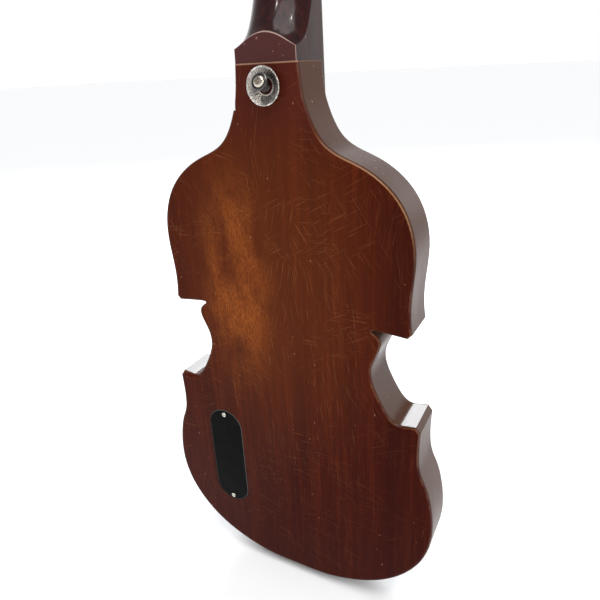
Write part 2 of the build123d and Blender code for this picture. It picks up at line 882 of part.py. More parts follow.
def make_knob(height):
    """A tapered knob, hollow underneath, with a pointer line on its skirt."""
    low, high = y_front - 3.6, y_front - 3.6 - knob_height
    profile = Plane.XZ.offset(-low) * (Pos(cover_centre_x, height) * Circle(knob_radius))
    top = Plane.XZ.offset(-high) * (Pos(cover_centre_x, height) * Circle(knob_top_radius))
    knob = loft([profile, top])
    rim = knob.edges().filter_by(GeomType.CIRCLE).sort_by(Axis.Y)[0]
    knob = fillet(rim, 1.5)
    knob -= peg(cover_centre_x, height, 9.0, low, low - 4)
    knob -= peg(cover_centre_x, height, pot_shaft_radius, low, y_front - 16)
    flute_count = 24
    for step in range(flute_count):
        angle = 2 * math.pi * step / flute_count
        reach = knob_radius + 0.3
        x = cover_centre_x + reach * math.cos(angle)
        z = height + reach * math.sin(angle)
        knob -= peg(x, z, 0.7, low - 2.5, high + 2)
    return knob


def make_capacitor():
    """A moulded tone capacitor, soldered between the two controls."""
    x = cover_centre_x + 4
    y = y_cavity_floor + pot_depth + 5.2
    middle = (volume_height + tone_height) / 2
    shell = rod((x, y, middle - 9), (x, y, middle + 9), 3.6)
    leads = rod((x, y, middle - 17), (x, y, middle + 17), 0.45)
    return shell + leads


def make_jack():
    """Threaded sleeve, deck and two contact springs of a quarter-inch socket."""
    x, z = cover_centre_x, jack_height
    sleeve = peg(x, z, pot_bushing_radius, y_cavity_floor, y_front - 4.5)
    deck = peg(x, z, 8.0, y_cavity_floor + 4, y_cavity_floor)
    jack = sleeve + deck
    jack -= peg(x, z, jack_bore_radius, y_cavity_floor + 5, y_front - 5)
    for side, length in ((-1, 18), (1, 13)):
        strip = Pos(x + side * 6.2, y_cavity_floor + 4 + length / 2, z) * Box(0.8, length, 5)
        tip = Pos(x + side * 5.0, y_cavity_floor + 4 + length, z) * Box(3.2, 0.8, 5)
        jack += strip + tip
    return jack


def make_control_cover():
    plate = slab(
        control_slot(cover_length, cover_width), y_back - 0.1, y_back - cover_thickness - 0.1
    )
    plate = fillet(plate.faces().sort_by(Axis.Y)[-1].edges(), 0.5)
    for side in (-1, 1):
        z = cover_centre_height + side * cover_screw_span / 2
        plate -= peg(cover_centre_x, z, 1.7, y_back, y_back - 5)
    return plate


def make_cover_screws():
    screws = [
        screw(cover_centre_x, cover_centre_height + side * cover_screw_span / 2, y_back - 0.1,
              2.6, 1.4, 1.45, 14, 1)
        for side in (-1, 1)
    ]
    return Compound(children=screws)


# ---- wiring -----------------------------------------------------------------------------
def wire(points, radius, bends):
    path = FilletPolyline(*points, radius=bends)
    return sweep(Plane(origin=path @ 0, z_dir=path % 0) * Circle(radius), path=path)


def pickup_lead():
    """The pickup's screened lead, down its drilled way to the volume control."""
    start, end = Vector(*pickup_lead_start()), Vector(*pickup_lead_end())
    way = (end - start).normalized()
    over_can = y_cavity_floor + 1 + pot_depth + 1.6
    last = (cover_centre_x - 3, over_can, volume_height + 3)
    return wire([tuple(start), tuple(end + way), last], 1.3, [6.0])


def ground_wire():
    """From a stud's bushing, through its drilled way, to the tone control's can."""
    y, z = y_front + 12, stud_centre_z()
    over_can = y_cavity_floor + 1 + pot_depth + 0.7
    wall = cover_centre_x - pot_radius - 2.2
    points = [
        (stud_span / 2 + stud_bushing_radius + 0.3, y, z),
        (wall, y, z),
        (wall, over_can + 1.5, z - 1),
        (wall + 8, over_can, tone_height + 4),
    ]
    return wire(points, 0.6, [1.2, 1.2])


def jack_lead():
    start = Vector(cover_centre_x - 6.2, y_cavity_floor + 23, jack_height)
    up = Vector(cover_centre_x - 6.2, y_cavity_floor + 27, jack_height + 8)
    end = Vector(cover_centre_x - 5.0, y_cavity_floor + pot_depth + 2.2, tone_height + 2)
    return wire([tuple(start), tuple(up), tuple(end)], 0.8, [5.0])


# ---- strap button and end pin socket ----------------------------------------------------
def turned(points, plane):
    """A turned piece about a plane's normal, from radius and height pairs."""
    half = make_face(Polyline(*points, close=True))
    return plane.location * revolve(Plane.XZ * half, axis=Axis.Z)


def above_back(shape):
    """Trims a shape to what stands clear of the body's back."""
    return shape & (Pos(0, y_back + 50, button_z) * Box(100, 100, 100))


def make_strap_button():
    """A turned button on a screw that leans towards the neck."""
    height, foot, neck, head = (
        strap_button_height, strap_foot_radius, strap_neck_radius, strap_head_radius,
    )
    bore = strap_screw_radius + 0.05
    profile = [
        (bore, -4),
        (foot, -4),
        (foot, 0.6),
        (neck, 2.6),
        (neck + 0.3, height - 3.6),
        (head - 0.5, height - 1.5),
        (head, height - 0.9),
        (head, height - 0.3),
        (head - 0.4, height),
        (head - 1.3, height),
        (head - 1.7, height - 0.9),
        (bore, height - 0.9),
    ]
    return above_back(turned(profile, strap_plane))


def make_strap_screw():
    """A wood screw with a round head and a cross recess."""
    low, head_radius, rise = strap_button_height - 0.9, 4.6, 2.6
    shank = strap_plane.location * (
        Pos(0, 0, low - 12) * Cylinder(strap_screw_radius, 24)
    )
    dome = Pos(0, 0, low) * Cylinder(head_radius, 2 * rise)
    dome = fillet(dome.edges().filter_by(GeomType.CIRCLE).sort_by(Axis.Z)[-1], rise * 0.8)
    dome -= Pos(0, 0, low - 5) * Box(20, 20, 10)
    cross = Pos(0, 0, low + rise) * (Box(5.0, 1.1, 2.6) + Box(1.1, 5.0, 2.6))
    return shank + strap_plane.location * (dome - cross)


def make_strap_cup():
    """A spun dish under the button, open in the middle and turned up at its rim."""
    wall, hole, rim, rise = strap_cup_wall, strap_cup_hole, strap_cup_radius, strap_cup_height
    profile = [
        (hole, 0.0),
        (hole + 1.2, 0.0),
        (rim - 2.2, rise * 0.62),
        (rim - 0.5, rise * 0.86),
        (rim, rise * 0.9),
        (rim, rise),
        (rim - wall, rise + 0.1),
        (rim - 2.4 - wall, rise * 0.72),
        (hole + 1.0, wall),
        (hole, wall),
    ]
    seat = Plane(origin=(0, y_back, button_z), x_dir=(1, 0, 0), z_dir=(0, 1, 0))
    return turned(profile, seat)


def make_end_pin_socket():
    sleeve = Pos(0, 0, socket_depth / 2) * Cylinder(socket_radius, socket_depth)
    collar = Pos(0, 0, -socket_collar_height / 2) * Cylinder(
        socket_collar_radius, socket_collar_height
    )
    collar = fillet(collar.edges().filter_by(GeomType.CIRCLE).sort_by(Axis.Z)[0], 1.2)
    socket = sleeve + collar
    socket -= Pos(0, 0, (socket_depth - 2 - socket_collar_height) / 2 - 1) * Cylinder(
        socket_bore_radius, socket_depth - 2 + socket_collar_height + 2
    )
    level = -socket_collar_height / 2
    return socket - rod((socket_bore_radius - 1, 0, level), (socket_collar_radius + 1, 0, level), 1.6)


def make_end_pin_screw():
    z = -socket_collar_height / 2
    shank = rod((socket_bore_radius + 0.3, 0, z), (socket_collar_radius + 2, 0, z), 1.55)
    head = rod((socket_collar_radius + 1.5, 0, z), (socket_collar_radius + 6.5, 0, z), 3.4)
    for step in range(12):
        angle = 2 * math.pi * step / 12
        y, rise = 3.5 * math.cos(angle), 3.5 * math.sin(angle)
        head -= rod((socket_collar_radius + 1, y, z + rise), (socket_collar_radius + 7, y, z + rise), 0.4)
    return shank + head


# ---- tuners -----------------------------------------------------------------------------
def make_tuner_housing(x, y):
    back = -head_thickness
    shell = head_peg(x, y, housing_radius, back - housing_length, back)
    edges = shell.edges().filter_by(GeomType.CIRCLE)
    shell = fillet(edges, 1.5)
    sleeve = head_peg(x, y, bushing_radius - 0.05, back - 0.5, sleeve_rise)
    housing = shell + sleeve
    housing -= head_peg(x, y, housing_radius - 2, back - housing_length + 2, back - 2)
    housing -= head_peg(x, y, post_radius + 0.1, back - 3, veneer_thickness + 6)
    housing -= head_peg(x, y, button_stem_radius + 0.1, back - housing_length - 1, back - 5)
    return housing


def make_tuner_post(x, y):
    """The post with the gear carrier that it stands on, inside the housing."""
    back = -head_thickness
    post = head_peg(x, y, post_radius, back - 4, post_rise)
    post = fillet(
        post.edges().filter_by(GeomType.CIRCLE).sort_by(Axis.Y)[0], 1.2
    )
    waist_ring = head_peg(x, y, post_radius + 2, post_rise - 4.5, post_rise - 3.2)
    waist_ring -= head_peg(x, y, post_radius - 0.8, post_rise - 4.5, post_rise - 3.2)
    post -= waist_ring
    carrier = head_peg(x, y, housing_radius - 2.4, back - 6.4, back - 3.0)
    hole = on_head(
        Pos(x, y, post_rise - 7) * Rot(0, 90, 0) * Cylinder(1.6, 4 * post_radius)
    )
    return post + carrier - hole


def make_tuner_button(x, y):
    """The knob, its stem and the small driving gear's shaft."""
    back = -head_thickness - housing_length
    stem = head_peg(x, y, button_stem_radius, back - 2, back + housing_length - 7)
    low, high = back - 1.0 - button_length, back - 1.0
    knob = head_peg(x, y, button_radius, low, high)
    knob = fillet(knob.edges().filter_by(GeomType.CIRCLE), 2.5)
    flute_count = 10
    for step in range(flute_count):
        angle = 2 * math.pi * step / flute_count
        reach = button_radius + 2.2
        knob -= head_peg(
            x + reach * math.cos(angle), y + reach * math.sin(angle), 3.2, low - 1, high + 1
        )
    return knob + stem


def make_tuner_nuts():
    pieces = []
    low = veneer_thickness
    for x, y in tuner_spots:
        washer = head_peg(x, y, 10, low, low + 0.8) - head_peg(x, y, bushing_radius, low, low + 0.8)
        hexagon = on_head(
            Pos(x, y, low + 0.8) * extrude(RegularPolygon(9, 6), amount=3.6)
        )
        nut = hexagon - head_peg(x, y, bushing_radius, low, low + 5)
        pieces += [washer, nut]
    return Compound(children=pieces)


def save(name, shape):
    shape.label = name
    export_step(shape, f"parts/{name}.step")


def main():
    os.makedirs("parts", exist_ok=True)
    save("body", make_body())
    save("neck", make_neck())
    save("headstock_veneer", make_veneer())
    save("fretboard", make_fretboard())
    save("frets", make_frets())
    save("fret_dots", make_dots())
    save("string_nut", make_nut())
    save("truss_rod", make_truss_rod())
    save("truss_rod_nut", make_truss_nut())
    save("truss_rod_cover", make_truss_cover())
    save("truss_cover_screws", make_truss_cover_screws())
    save("pickup_cover", make_pickup_cover())
    save("pickup_coil", make_pickup_coil())
    save("pickup_magnet", make_pickup_magnet())
    save("pickup_pole_screws", make_pole_screws())
    save("pickup_baseplate", make_pickup_baseplate())
    save("pickup_screws", make_pickup_screws())
    save("bridge_bar", make_bridge_bar())
    save("bridge_studs", make_bridge_studs())
    save("bridge_stud_bushings", make_stud_bushings())
    save("bridge_set_screws", make_set_screws())
    for index, name in enumerate(string_names):
        save(f"string_{name}", make_string(index))
    for name, height in controls.items():
        save(f"{name}_pot", make_pot(height))
        save(f"{name}_pot_shaft", make_pot_shaft(height))
        save(f"{name}_knob", make_knob(height))
    save("control_nuts", make_control_nuts())
    save("tone_capacitor", make_capacitor())
    save("output_jack", make_jack())
    save("wiring", Compound(children=[pickup_lead(), ground_wire(), jack_lead()]))
    save("control_cover", make_control_cover())
    save("control_cover_screws", make_cover_screws())
    save("strap_button", make_strap_button())
    save("strap_button_screw", make_strap_screw())
    save("strap_button_cup", make_strap_cup())
    save("end_pin_socket", make_end_pin_socket())
    save("end_pin_screw", make_end_pin_screw())
    for index, (name, (x, y)) in enumerate(zip(string_names, tuner_spots)):
        save(f"tuner_{name}_housing", make_tuner_housing(x, y))
        save(f"tuner_{name}_post", make_tuner_post(x, y))
        save(f"tuner_{name}_button", make_tuner_button(x, y))
        save(f"string_{name}_winding", make_winding(index))
    save("tuner_nuts", make_tuner_nuts())


main()
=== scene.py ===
import math

import bmesh
import bpy
from mathutils import Matrix, Vector


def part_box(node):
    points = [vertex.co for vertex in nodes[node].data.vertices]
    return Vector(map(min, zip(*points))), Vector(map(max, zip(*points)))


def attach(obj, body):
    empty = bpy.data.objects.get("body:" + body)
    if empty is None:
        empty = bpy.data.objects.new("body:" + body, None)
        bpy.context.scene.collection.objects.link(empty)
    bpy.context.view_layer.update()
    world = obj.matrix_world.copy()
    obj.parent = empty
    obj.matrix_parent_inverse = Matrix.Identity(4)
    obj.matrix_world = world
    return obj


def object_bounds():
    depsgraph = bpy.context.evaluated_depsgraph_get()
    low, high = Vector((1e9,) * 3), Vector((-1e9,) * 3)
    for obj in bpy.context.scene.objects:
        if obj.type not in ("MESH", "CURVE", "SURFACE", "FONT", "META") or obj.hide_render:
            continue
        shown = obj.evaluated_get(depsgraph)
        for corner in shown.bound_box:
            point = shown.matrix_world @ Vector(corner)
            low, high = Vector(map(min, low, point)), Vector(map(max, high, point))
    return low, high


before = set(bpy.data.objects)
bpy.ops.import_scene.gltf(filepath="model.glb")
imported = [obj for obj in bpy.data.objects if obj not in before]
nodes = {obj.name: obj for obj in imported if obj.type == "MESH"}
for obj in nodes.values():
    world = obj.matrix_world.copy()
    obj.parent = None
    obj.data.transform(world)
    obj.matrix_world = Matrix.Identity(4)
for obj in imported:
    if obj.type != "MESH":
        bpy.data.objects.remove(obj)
cad_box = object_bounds()


# ---- the view -------------------------------------------------------------------------------
# A short lens, close to the upper back and looking down over it, so the shoulders come
# forward and the bottom end falls away.
sensor_width, focal_length = 36.0, 32.81      # in millimetres
camera_place = (-0.2311, 0.4074, 0.5137)
camera_aim = (0.4420, -0.8068, -0.3920)
camera_up = (0.1420, -0.3685, 0.9187)
nearest_seen = 0.02

collection = bpy.context.scene.collection
camera = bpy.data.objects.new("camera", bpy.data.cameras.new("camera"))
collection.objects.link(camera)
camera.data.sensor_width = sensor_width
camera.data.lens = focal_length
camera.data.clip_start = nearest_seen
sight = Vector(camera_aim).normalized()
across = sight.cross(Vector(camera_up)).normalized()
upward = across.cross(sight)
turned = Matrix((across, upward, -sight)).transposed().to_4x4()
camera.matrix_world = Matrix.Translation(camera_place) @ turned
bpy.context.scene.camera = camera


# ---- the room -------------------------------------------------------------------------------
# A pale floor under a sky whose white walls fade to a grey ceiling. A wide sun overhead gives
# most of the light. A large softbox stands beyond the instrument, a weaker lamp lights its
# side, and two small ceiling lamps show as points in the gloss.
floor_size, floor_gap = 40.0, 0.002
floor_colour, floor_roughness, floor_gloss = (0.92, 0.92, 0.92, 1), 0.9, 0.1
wall_height, ceiling_height = 0.16, 0.45      # the sine of the angle above the horizon
wall_colour, ceiling_colour = (1.0, 1.0, 1.0, 1), (0.30, 0.31, 0.33, 1)
sun_width, sun_strength = math.radians(50), 2.3
sun_aim = (0.25, -0.30, -1.0)
daylight, warm_light = (0.93, 0.97, 1.0), (1.0, 0.97, 0.92)


def aim(direction):
    """The turn that points a lamp, which shines along its own -Z."""
    return Vector(direction).to_track_quat("-Z", "Y").to_euler()


floor_finish = bpy.data.materials.new("pale_floor")
floor_finish.use_nodes = True
floor_shader = floor_finish.node_tree.nodes["Principled BSDF"]
floor_shader.inputs["Base Color"].default_value = floor_colour
floor_shader.inputs["Roughness"].default_value = floor_roughness
floor_shader.inputs["Specular IOR Level"].default_value = floor_gloss
floor_shape = bmesh.new()
bmesh.ops.create_grid(floor_shape, x_segments=1, y_segments=1, size=floor_size)
floor_level = cad_box[0][2] - floor_gap
bmesh.ops.translate(floor_shape, verts=floor_shape.verts, vec=(0, 0, floor_level))
floor_mesh = bpy.data.meshes.new("floor")
floor_shape.to_mesh(floor_mesh)
floor_shape.free()
floor = bpy.data.objects.new("floor", floor_mesh)
floor_mesh.materials.append(floor_finish)
collection.objects.link(floor)

sky = bpy.data.worlds.new("sky")
sky.use_nodes = True
sky_tree = sky.node_tree
direction = sky_tree.nodes.new("ShaderNodeTexCoord").outputs["Generated"]
height = sky_tree.nodes.new("ShaderNodeSeparateXYZ")
walls = sky_tree.nodes.new("ShaderNodeValToRGB")
low_end, high_end = walls.color_ramp.elements
low_end.position, low_end.color = wall_height, wall_colour
high_end.position, high_end.color = ceiling_height, ceiling_colour
sky_tree.links.new(direction, height.inputs[0])
sky_tree.links.new(height.outputs["Z"], walls.inputs[0])
sky_tree.links.new(walls.outputs[0], sky_tree.nodes["Background"].inputs["Color"])
bpy.context.scene.world = sky
bpy.context.scene.view_settings.view_transform = "Standard"

overhead = bpy.data.lights.new("overhead", "SUN")
overhead.angle = sun_width
overhead.energy = sun_strength
overhead_holder = bpy.data.objects.new("overhead", overhead)
overhead_holder.rotation_euler = aim(sun_aim)
collection.objects.link(overhead_holder)

# each lamp's place, what it points at, and its size, power and colour
lamps = {
    "rear_softbox": ((0.95, -1.75, 1.75), (0, 0, 0.30), 1.3, 55, daylight),
    "side": ((-1.6, 0.2, 0.9), (0, 0, 0.25), 0.7, 5, (0.92, 0.96, 1.0)),
    "ceiling_left": ((0.35, 1.0, 2.0), (0, 0, 0.6), 0.06, 2.2, warm_light),
    "ceiling_right": ((-0.9, 0.55, 1.9), (0, 0, 0.6), 0.05, 2.0, warm_light),
}
for name, (place, target, size, power, colour) in lamps.items():
    lamp = bpy.data.lights.new(name, "AREA")
    lamp.size = size
    lamp.energy = power
    lamp.color = colour
    holder = bpy.data.objects.new(name, lamp)
    holder.location = place
    holder.rotation_euler = aim(Vector(target) - Vector(place))
    collection.objects.link(holder)


# ---- what the finishes share ----------------------------------------------------------------
class Finish:
    """A material's node tree, with short ways to add the few nodes that finishes share."""

    def __init__(self, name):
        self.material = bpy.data.materials.new(name)
        self.material.use_nodes = True
        self.tree = self.material.node_tree
        self.shader = self.tree.nodes["Principled BSDF"]
        spot = self.tree.nodes.new("ShaderNodeTexCoord")
        self.place, self.facing = spot.outputs["Object"], spot.outputs["Normal"]

    def feed(self, socket, value):
        if isinstance(value, bpy.types.NodeSocket):
            self.tree.links.new(value, socket)
        elif value is not None:
            socket.default_value = value

    def calc(self, operation, first, second=None, third=None):
        node = self.tree.nodes.new("ShaderNodeMath")
        node.operation = operation
        for socket, value in zip(node.inputs, (first, second, third)):
            self.feed(socket, value)
        return node.outputs[0]

    def times(self, first, second):
        return self.calc("MULTIPLY", first, second)

    def diagonal(self, first, second):
        squares = self.times(first, first), self.times(second, second)
        return self.calc("SQRT", self.calc("ADD", *squares))

    def parts(self, vector):
        node = self.tree.nodes.new("ShaderNodeSeparateXYZ")
        self.feed(node.inputs[0], vector)
        return node.outputs

    def noise(self, stretch, detail=3.0, rough=0.55, swirl=0.0, turn=(0, 0, 0), centre=(0, 0, 0)):
        """Noise with so many cells to the metre along each axis."""
        mapping = self.tree.nodes.new("ShaderNodeMapping")
        mapping.inputs["Location"].default_value = [-c * s for c, s in zip(centre, stretch)]
        mapping.inputs["Scale"].default_value = stretch
        turned = self.tree.nodes.new("ShaderNodeVectorRotate")
        turned.rotation_type = "EULER_XYZ"
        turned.inputs["Rotation"].default_value = turn
        self.feed(turned.inputs["Vector"], self.place)
        self.feed(mapping.inputs["Vector"], turned.outputs[0])
        texture = self.tree.nodes.new("ShaderNodeTexNoise")
        texture.inputs["Scale"].default_value = 1.0
        texture.inputs["Detail"].default_value = detail
        texture.inputs["Roughness"].default_value = rough
        texture.inputs["Distortion"].default_value = swirl
        self.feed(texture.inputs["Vector"], mapping.outputs[0])
        return texture.outputs["Fac"]

    def spread(self, value, low, high, to_low=0.0, to_high=1.0):
        """A smooth step that runs to_low to to_high while value runs low to high."""
        node = self.tree.nodes.new("ShaderNodeMapRange")
        node.interpolation_type = "SMOOTHSTEP"
        for socket, size in zip(node.inputs, (value, low, high, to_low, to_high)):
            self.feed(socket, size)
        return node.outputs[0]

    def blend(self, share, under, over):
        """One colour laid over another by a share from none to all."""
        node = self.tree.nodes.new("ShaderNodeMix")
        node.data_type = "RGBA"
        self.feed(node.inputs[0], share)
        for socket, colour in zip(node.inputs[6:8], (under, over)):
            if isinstance(colour, tuple):
                colour = (*colour, 1.0)
            self.feed(socket, colour)
        return node.outputs[2]

    def glaze(self, under, mask, strength, over):
        """A colour laid over another where the mask is, at the mask's strength."""
        return self.blend(self.times(mask, strength), under, over)

    def mottle(self, pattern, levels, colours):
        """Two colours that follow a pattern as it rises between two levels."""
        return self.blend(self.spread(pattern, *levels), *colours)

    def near(self, centre, reach, soft):
        """One inside an ellipsoid about centre, falling to nothing over its soft share."""
        x, y, z = self.parts(self.place)
        total = None
        for axis, middle, size in zip((x, y, z), centre, reach):
            if size:
                part = self.calc("DIVIDE", self.calc("SUBTRACT", axis, middle), size)
                part = self.times(part, part)
                total = part if total is None else self.calc("ADD", total, part)
        return self.spread(self.calc("SQRT", total), 1.0 + soft, 1.0 - soft)

    def surface(self, colour, roughness, metallic=0.0, coat=0.0, coat_roughness=0.1, gloss=0.5):
        """The sockets of the shader; coat_roughness and gloss are always plain numbers."""
        self.feed(self.shader.inputs["Base Color"], colour)
        self.feed(self.shader.inputs["Roughness"], roughness)
        self.feed(self.shader.inputs["Metallic"], metallic)
        self.shader.inputs["Specular IOR Level"].default_value = gloss
        self.feed(self.shader.inputs["Coat Weight"], coat)
        self.shader.inputs["Coat Roughness"].default_value = coat_roughness

    def relief(self, height, depth, under=None):
        """A bump of so many metres, over another where one is given."""
        node = self.tree.nodes.new("ShaderNodeBump")
        node.inputs["Distance"].default_value = depth
        node.inputs["Strength"].default_value = 1.0
        self.feed(node.inputs["Height"], height)
        if under:
            self.feed(node.inputs["Normal"], under)
        self.feed(self.shader.inputs["Normal"], node.outputs[0])
        return node.outputs[0]

    def wear(self, *names):
        for name in names:
            slots = nodes[name].data.materials
            slots.clear()
            slots.append(self.material)


def wood_colours(wood, dark, middle, light, streak=170.0):
    """Long tonal bands, finer streaks and open pores along Z."""
    bands = wood.noise((26, 26, 1.1), detail=2.0, swirl=0.6)
    streaks = wood.noise((streak, streak, 5.0), detail=4.0, rough=0.6, swirl=0.25)
    fibres = wood.noise((900, 900, 26), detail=2.0)
    colour = wood.blend(wood.spread(bands, 0.32, 0.68), dark, middle)
    colour = wood.blend(wood.spread(streaks, 0.42, 0.70, 0.0, 0.85), colour, light)
    colour = wood.blend(wood.spread(fibres, 0.36, 0.60, 0.60, 0.0), colour, dark)
    pores = wood.spread(wood.noise((1500, 1500, 70), detail=1.0), 0.66, 0.74)
    pore_colour = tuple(channel * 0.3 for channel in dark)
    return wood.glaze(colour, pores, 0.55, pore_colour), pores, fibres


def scratches(finish, marks, length=42.0, keen=0.745):
    """Fine straight marks in loose groups, at the angle and from the seed of each mark."""
    lines = None
    for angle, seed in marks:
        turn = (0, math.radians(angle), 0)
        cuts = finish.noise((1700, 60, length), detail=0.0, turn=turn, centre=(seed, 0, seed))
        groups = finish.noise((16, 16, 11), detail=1.0, turn=turn, centre=(seed, 0, 2 * seed))
        one = finish.times(
            finish.spread(cuts, keen, keen + 0.02), finish.spread(groups, 0.52, 0.6)
        )
        lines = one if lines is None else finish.calc("MAXIMUM", lines, one)
    return lines


def flecked(name, cells, levels, colours, roughness, depth, metallic=0.0, coat=0.0, **kind):
    """A simple finish whose colour and relief follow one noise."""
    finish = Finish(name)
    flecks = finish.noise(cells, **kind)
    tone = finish.mottle(flecks, levels, colours)
    finish.surface(tone, roughness, metallic=metallic, coat=coat)
    finish.relief(flecks, depth)
    return finish


# ---- body -----------------------------------------------------------------------------------
# A mahogany slab, stained red-brown and lacquered, its rims rounded over. Years of playing
# have worn a patch through the stain, scratched the lacquer and rubbed the rims to bare wood,
# and a painted highlight runs along the rims.
stain_dark = (0.026, 0.0022, 0.0004)
stain_middle = (0.055, 0.0052, 0.0007)
stain_light = (0.092, 0.0125, 0.0016)
stain_other_board = (0.10, 0.020, 0.005)
sheen_colour = (0.118, 0.026, 0.0060)
stain_at_heel = (0.066, 0.0115, 0.0085)
stain_heavy_and_shade = (0.032, 0.0016, 0.0004)
stain_on_rim = (0.060, 0.0225, 0.0085)
worn_stain = (0.34, 0.088, 0.0140)
cut_wood = (0.36, 0.20, 0.13)
scratched_wood = (0.36, 0.130, 0.045)
dented_wood = (0.36, 0.17, 0.08)
rubbed_wood_and_highlight = (0.36, 0.185, 0.080)

mahogany = Finish("stained_mahogany")
colour, pores, _ = wood_colours(mahogany, stain_dark, stain_middle, stain_light)
across_body, _, up_body = mahogany.parts(mahogany.place)
_, face_y, face_z = mahogany.parts(mahogany.facing)

# the slab is glued from two boards, so the tone steps a little along their joint, which
# leans across the body's middle
joint_slope, joint_offset = 0.0887, -0.0106
joint_line = mahogany.calc(
    "ADD", across_body, mahogany.calc("MULTIPLY_ADD", up_body, joint_slope, joint_offset)
)
one_board = mahogany.spread(joint_line, -0.0004, 0.0004)
colour = mahogany.glaze(colour, one_board, 0.12, stain_other_board)
seam = mahogany.spread(mahogany.calc("ABSOLUTE", joint_line), 0.0009, 0.0002)
colour = mahogany.glaze(colour, seam, 0.45, stain_dark)

# a painted sheen lightens the middle of the back, the colour is duller beside the heel, towards
# the sides and the bottom end heavier stain and painted shade darken it, and a ledge at the top
# was cut through the stain
# painted sheen: a lighter colour laid over the upper middle of the back
middle_sheen = mahogany.near((0.01, 0, 0.36), (0.100, 0, 0.150), 0.75)
colour = mahogany.glaze(colour, middle_sheen, 0.5, sheen_colour)
heel_shade = mahogany.spread(up_body, 0.435, 0.500, 0.0, 0.6)
colour = mahogany.blend(heel_shade, colour, stain_at_heel)
ledge = mahogany.spread(up_body, 0.5166, 0.5174)
colour = mahogany.glaze(colour, ledge, 0.8, cut_wood)
# painted shade over heavier stain: darker towards the bottom end and both sides
low_shade = mahogany.spread(up_body, 0.24, 0.03, 0.0, 0.55)
bass_shade = mahogany.spread(across_body, -0.045, -0.125, 0.0, 0.55)
side_shade = mahogany.calc("MAXIMUM", low_shade, bass_shade)
treble_shade = mahogany.spread(across_body, 0.075, 0.135, 0.0, 0.40)
side_shade = mahogany.calc("MAXIMUM", side_shade, treble_shade)
colour = mahogany.blend(side_shade, colour, stain_heavy_and_shade)

# the rims are browner than the back
on_rim = mahogany.spread(mahogany.calc("ABSOLUTE", face_y), 0.55, 0.30)
colour = mahogany.glaze(colour, on_rim, 0.8, stain_on_rim)

# the patch that a player's body wore through the stain
speckle = mahogany.noise((900, 900, 260), detail=4.0, rough=0.75)
cloud = mahogany.noise((34, 34, 17), detail=4.0, rough=0.65)
patch = mahogany.near((0.045, 0, 0.332), (0.029, 0, 0.080), 0.70)
rubbed = mahogany.times(patch, mahogany.spread(cloud, 0.30, 0.62))
rubbed = mahogany.times(rubbed, mahogany.spread(speckle, 0.34, 0.62, 0.25, 1.0))
colour = mahogany.glaze(colour, rubbed, 0.8, worn_stain)

# scratches at many angles on the flat back, closest round the patch
scratch_marks = ((12, 0.31), (-34, 1.7), (61, 2.9), (-71, 4.3), (88, 5.1), (-8, 6.6))
lines = scratches(mahogany, scratch_marks)
played = mahogany.near((0.02, 0.022, 0.33), (0.10, 0.02, 0.18), 0.7)
lines = mahogany.times(lines, mahogany.spread(played, 0.0, 1.0, 0.35, 1.0))
lines = mahogany.times(lines, mahogany.spread(face_y, 0.90, 0.97))
colour = mahogany.glaze(colour, lines, 0.30, scratched_wood)

# dents that show pale wood
dents = mahogany.noise((330, 330, 260), detail=0.0, centre=(0.7, 0, 0.2))
pits = mahogany.spread(dents, 0.855, 0.87)
colour = mahogany.glaze(colour, pits, 0.7, dented_wood)

# the roundover is partly rubbed through and partly carries a painted highlight, in patches all
# round and most of all on one shoulder
turning = mahogany.times(
    mahogany.spread(mahogany.calc("ABSOLUTE", face_y), 0.45, 0.65),
    mahogany.spread(mahogany.calc("ABSOLUTE", face_y), 0.90, 0.75),
)
breaks = mahogany.spread(mahogany.noise((60, 60, 60), detail=4.0, rough=0.65), 0.45, 0.62)
shoulder_highlight = mahogany.near((-0.085, 0.02, 0.425), (0.055, 0.02, 0.045), 0.6)
edge_wear_and_highlight = mahogany.times(turning, mahogany.times(breaks, 0.3))
edge_wear_and_highlight = mahogany.calc("MAXIMUM", edge_wear_and_highlight, mahogany.times(turning, shoulder_highlight))
colour = mahogany.glaze(colour, edge_wear_and_highlight, 0.62, rubbed_wood_and_highlight)

# the lacquer is duller where it is worn, thin on the flat back and thick on upward rims
handled = mahogany.noise((12, 12, 9), detail=4.0, rough=0.6)
roughness = mahogany.spread(handled, 0.3, 0.7, 0.30, 0.44)
roughness = mahogany.calc("ADD", roughness, mahogany.times(rubbed, 0.18))
roughness = mahogany.calc("ADD", roughness, mahogany.times(lines, 0.2))
flat_back = mahogany.spread(face_y, 0.60, 0.95)
skyward = mahogany.times(on_rim, mahogany.spread(face_z, 0.15, 0.75))
polish = mahogany.calc("MULTIPLY_ADD", flat_back, -0.24, 0.25)
polish = mahogany.calc("MULTIPLY_ADD", skyward, 0.75, polish)
mahogany.surface(colour, roughness, coat=polish, coat_roughness=0.20, gloss=0.04)
ripple = mahogany.relief(mahogany.noise((30, 30, 8), detail=2.0), 0.0004)
grain = mahogany.relief(mahogany.times(pores, -1.0), 0.00006, ripple)
cuts = mahogany.calc("MAXIMUM", lines, pits)
mahogany.relief(mahogany.times(cuts, -1.0), 0.00008, grain)
mahogany.wear("body")


# ---- neck -----------------------------------------------------------------------------------
# One piece of mahogany, glued into the body, under a thicker and darker lacquer. The flat
# end of its heel was sanded with the body, so it is redder and duller than the carved part.
neck_dark = (0.016, 0.0042, 0.0040)
neck_middle = (0.028, 0.0065, 0.0055)
neck_light = (0.048, 0.0110, 0.0085)
heel_end_red = (0.068, 0.0130, 0.0110)
heel_edge_highlight = (0.42, 0.28, 0.24)
nicked_wood = (0.30, 0.17, 0.12)

